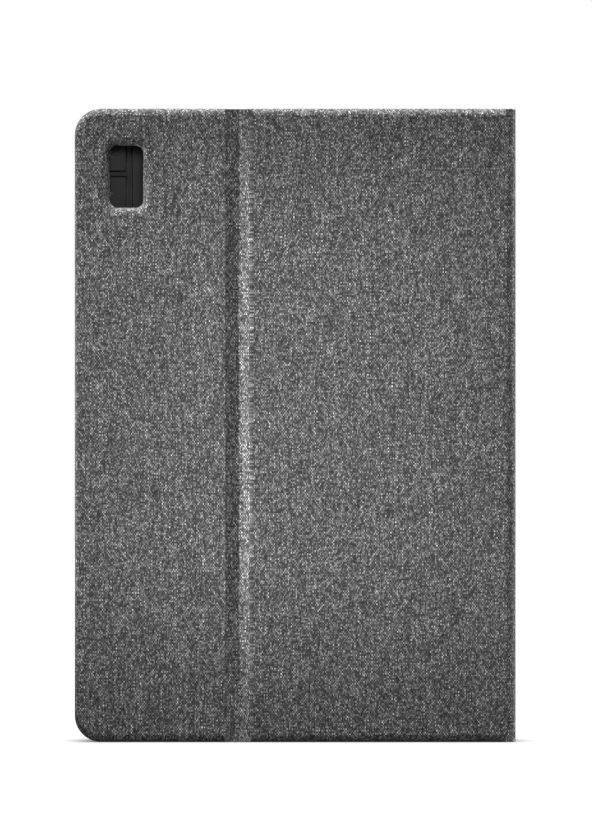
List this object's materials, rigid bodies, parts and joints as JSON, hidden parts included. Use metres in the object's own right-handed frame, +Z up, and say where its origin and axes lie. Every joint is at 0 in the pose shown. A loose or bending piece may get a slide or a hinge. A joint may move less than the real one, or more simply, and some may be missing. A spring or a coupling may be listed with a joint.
{
  "type": "tablet keyboard case",
  "caption": "Fabric folio case for a slim tablet, with a moulded tablet tray, a fold groove that makes the stand, a camera window and a thin wireless keyboard inside.",
  "frame": {"origin": "middle of the bottom edge of the closed case, halfway through its thickness", "axes": "+Z up the long side, +X from the free edge to the spine, +Y from the back cover to the front cover"},
  "size_m": [0.1762, 0.022, 0.253],
  "materials": {
    "cover_fabric": "heathered grey plain weave",
    "stiffener_board": "grey pulp board",
    "suede_lining": "brushed microfibre",
    "magnet_metal": "nickel plated",
    "glue_film": "clear tacky film",
    "tray_plastic": "fine textured black moulding",
    "case_plastic": "fine textured dark grey moulding",
    "keycap_plastic": "satin black moulding with printed legends",
    "control_plastic": "satin grey moulding",
    "light_pipe": "clear moulding",
    "screw_steel": "rolled steel",
    "port_steel": "drawn steel shell",
    "circuit_film": "polyester film",
    "dome_rubber": "translucent silicone",
    "battery_foil": "foil pouch",
    "circuit_board": "solder mask"
  },
  "bodies": {
    "front_cover": {"front_cover_fabric": "cover_fabric", "front_cover_board": "stiffener_board", "front_cover_lining": "suede_lining", "front_closure_magnets": "magnet_metal", "front_fold_strip": "cover_fabric", "keyboard_adhesive": "glue_film", "keyboard_base": "case_plastic", "keyboard_top_case": "case_plastic", "keyboard_screws": "screw_steel", "key_backplate": "screw_steel", "key_membrane": "circuit_film", "rubber_dome_sheet": "dome_rubber", "docking_magnets": "magnet_metal", "battery_pack": "battery_foil", "controller_board": "circuit_board", "charging_port": "port_steel", "status_lights": "light_pipe"},
    "spine": {"spine_fabric": "cover_fabric", "spine_board": "stiffener_board", "spine_lining": "suede_lining", "back_fold_strip": "cover_fabric"},
    "back_lower": {"back_lower_fabric": "cover_fabric", "back_lower_board": "stiffener_board", "back_lower_lining": "suede_lining", "stand_fold_strip": "cover_fabric"},
    "back_upper": {"back_upper_fabric": "cover_fabric", "back_upper_board": "stiffener_board", "back_upper_lining": "suede_lining", "back_closure_magnets": "magnet_metal", "tray_adhesive": "glue_film", "tablet_tray": "tray_plastic", "tray_magnets": "magnet_metal"},
    "power_switch": {"power_switch": "control_plastic"},
    "pairing_button": {"pairing_button": "control_plastic"},
    "control_key": {"control_key": "keycap_plastic"},
    "fn_key": {"fn_key": "keycap_plastic"},
    "menu_key": {"menu_key": "keycap_plastic"},
    "left_alt_key": {"left_alt_key": "keycap_plastic"},
    "space_bar": {"space_bar": "keycap_plastic"},
    "right_alt_key": {"right_alt_key": "keycap_plastic"},
    "right_control_key": {"right_control_key": "keycap_plastic"},
    "left_arrow_key": {"left_arrow_key": "keycap_plastic"},
    "down_arrow_key": {"down_arrow_key": "keycap_plastic"},
    "right_arrow_key": {"right_arrow_key": "keycap_plastic"},
    "left_shift_key": {"left_shift_key": "keycap_plastic"},
    "lower_letter_keys": {"lower_letter_keys": "keycap_plastic"},
    "up_arrow_key": {"up_arrow_key": "keycap_plastic"},
    "right_shift_key": {"right_shift_key": "keycap_plastic"},
    "caps_lock_key": {"caps_lock_key": "keycap_plastic"},
    "home_letter_keys": {"home_letter_keys": "keycap_plastic"},
    "enter_key": {"enter_key": "keycap_plastic"},
    "tab_key": {"tab_key": "keycap_plastic"},
    "upper_letter_keys": {"upper_letter_keys": "keycap_plastic"},
    "backslash_key": {"backslash_key": "keycap_plastic"},
    "number_keys": {"number_keys": "keycap_plastic"},
    "backspace_key": {"backspace_key": "keycap_plastic"},
    "escape_key": {"escape_key": "keycap_plastic"},
    "function_keys": {"function_keys": "keycap_plastic"},
    "lock_key": {"lock_key": "keycap_plastic"}
  },
  "joints": [
    {"name": "front_fold", "type": "hinge", "parent": "front_cover", "child": "spine", "pos_m": [0.087, 0.0099, 0], "axis": [0, 0, 1], "range_deg": [0, 90], "deforming": ["front_fold_strip"]},
    {"name": "back_fold", "type": "hinge", "parent": "spine", "child": "back_lower", "pos_m": [0.087, -0.0099, 0], "axis": [0, 0, 1], "range_deg": [0, 170], "deforming": ["back_fold_strip"]},
    {"name": "stand_fold", "type": "hinge", "parent": "back_lower", "child": "back_upper", "pos_m": [-0.0227, -0.0083, 0], "axis": [0, 0, 1], "range_deg": [0, 51], "deforming": ["stand_fold_strip"]},
    {"name": "control_key_press", "type": "slide", "parent": "front_cover", "child": "control_key", "axis": [0, 1, 0], "range_m": [0, 0.0012], "stiffness_N_per_m": 400},
    {"name": "fn_key_press", "type": "slide", "parent": "front_cover", "child": "fn_key", "axis": [0, 1, 0], "range_m": [0, 0.0012], "stiffness_N_per_m": 400},
    {"name": "menu_key_press", "type": "slide", "parent": "front_cover", "child": "menu_key", "axis": [0, 1, 0], "range_m": [0, 0.0012], "stiffness_N_per_m": 400},
    {"name": "left_alt_key_press", "type": "slide", "parent": "front_cover", "child": "left_alt_key", "axis": [0, 1, 0], "range_m": [0, 0.0012], "stiffness_N_per_m": 400},
    {"name": "space_bar_press", "type": "slide", "parent": "front_cover", "child": "space_bar", "axis": [0, 1, 0], "range_m": [0, 0.0012], "stiffness_N_per_m": 400, "deforming": ["rubber_dome_sheet"]},
    {"name": "right_alt_key_press", "type": "slide", "parent": "front_cover", "child": "right_alt_key", "axis": [0, 1, 0], "range_m": [0, 0.0012], "stiffness_N_per_m": 400},
    {"name": "right_control_key_press", "type": "slide", "parent": "front_cover", "child": "right_control_key", "axis": [0, 1, 0], "range_m": [0, 0.0012], "stiffness_N_per_m": 400},
    {"name": "left_arrow_key_press", "type": "slide", "parent": "front_cover", "child": "left_arrow_key", "axis": [0, 1, 0], "range_m": [0, 0.0012], "stiffness_N_per_m": 400},
    {"name": "down_arrow_key_press", "type": "slide", "parent": "front_cover", "child": "down_arrow_key", "axis": [0, 1, 0], "range_m": [0, 0.0012], "stiffness_N_per_m": 400},
    {"name": "right_arrow_key_press", "type": "slide", "parent": "front_cover", "child": "right_arrow_key", "axis": [0, 1, 0], "range_m": [0, 0.0012], "stiffness_N_per_m": 400},
    {"name": "left_shift_key_press", "type": "slide", "parent": "front_cover", "child": "left_shift_key", "axis": [0, 1, 0], "range_m": [0, 0.0012], "stiffness_N_per_m": 400},
    {"name": "lower_letter_keys_press", "type": "slide", "parent": "front_cover", "child": "lower_letter_keys", "axis": [0, 1, 0], "range_m": [0, 0.0012], "stiffness_N_per_m": 4000},
    {"name": "up_arrow_key_press", "type": "slide", "parent": "front_cover", "child": "up_arrow_key", "axis": [0, 1, 0], "range_m": [0, 0.0012], "stiffness_N_per_m": 400},
    {"name": "right_shift_key_press", "type": "slide", "parent": "front_cover", "child": "right_shift_key", "axis": [0, 1, 0], "range_m": [0, 0.0012], "stiffness_N_per_m": 400},
    {"name": "caps_lock_key_press", "type": "slide", "parent": "front_cover", "child": "caps_lock_key", "axis": [0, 1, 0], "range_m": [0, 0.0012], "stiffness_N_per_m": 400},
    {"name": "home_letter_keys_press", "type": "slide", "parent": "front_cover", "child": "home_letter_keys", "axis": [0, 1, 0], "range_m": [0, 0.0012], "stiffness_N_per_m": 4400},
    {"name": "enter_key_press", "type": "slide", "parent": "front_cover", "child": "enter_key", "axis": [0, 1, 0], "range_m": [0, 0.0012], "stiffness_N_per_m": 400},
    {"name": "tab_key_press", "type": "slide", "parent": "front_cover", "child": "tab_key", "axis": [0, 1, 0], "range_m": [0, 0.0012], "stiffness_N_per_m": 400},
    {"name": "upper_letter_keys_press", "type": "slide", "parent": "front_cover", "child": "upper_letter_keys", "axis": [0, 1, 0], "range_m": [0, 0.0012], "stiffness_N_per_m": 4800},
    {"name": "backslash_key_press", "type": "slide", "parent": "front_cover", "child": "backslash_key", "axis": [0, 1, 0], "range_m": [0, 0.0012], "stiffness_N_per_m": 400},
    {"name": "number_keys_press", "type": "slide", "parent": "front_cover", "child": "number_keys", "axis": [0, 1, 0], "range_m": [0, 0.0012], "stiffness_N_per_m": 4800},
    {"name": "backspace_key_press", "type": "slide", "parent": "front_cover", "child": "backspace_key", "axis": [0, 1, 0], "range_m": [0, 0.0012], "stiffness_N_per_m": 400},
    {"name": "escape_key_press", "type": "slide", "parent": "front_cover", "child": "escape_key", "axis": [0, 1, 0], "range_m": [0, 0.0012], "stiffness_N_per_m": 400},
    {"name": "function_keys_press", "type": "slide", "parent": "front_cover", "child": "function_keys", "axis": [0, 1, 0], "range_m": [0, 0.0012], "stiffness_N_per_m": 4800},
    {"name": "lock_key_press", "type": "slide", "parent": "front_cover", "child": "lock_key", "axis": [0, 1, 0], "range_m": [0, 0.0012], "stiffness_N_per_m": 400},
    {"name": "power_switch_slide", "type": "slide", "parent": "front_cover", "child": "power_switch", "axis": [0, 0, 1], "range_m": [0, 0.003]},
    {"name": "pairing_button_press", "type": "slide", "parent": "front_cover", "child": "pairing_button", "axis": [0, 1, 0], "range_m": [0, 0.0005], "stiffness_N_per_m": 600}
  ],
  "couplings": [
    {"joint": "stand_fold", "follows": "back_fold", "ratio": 0.3}
  ]
}
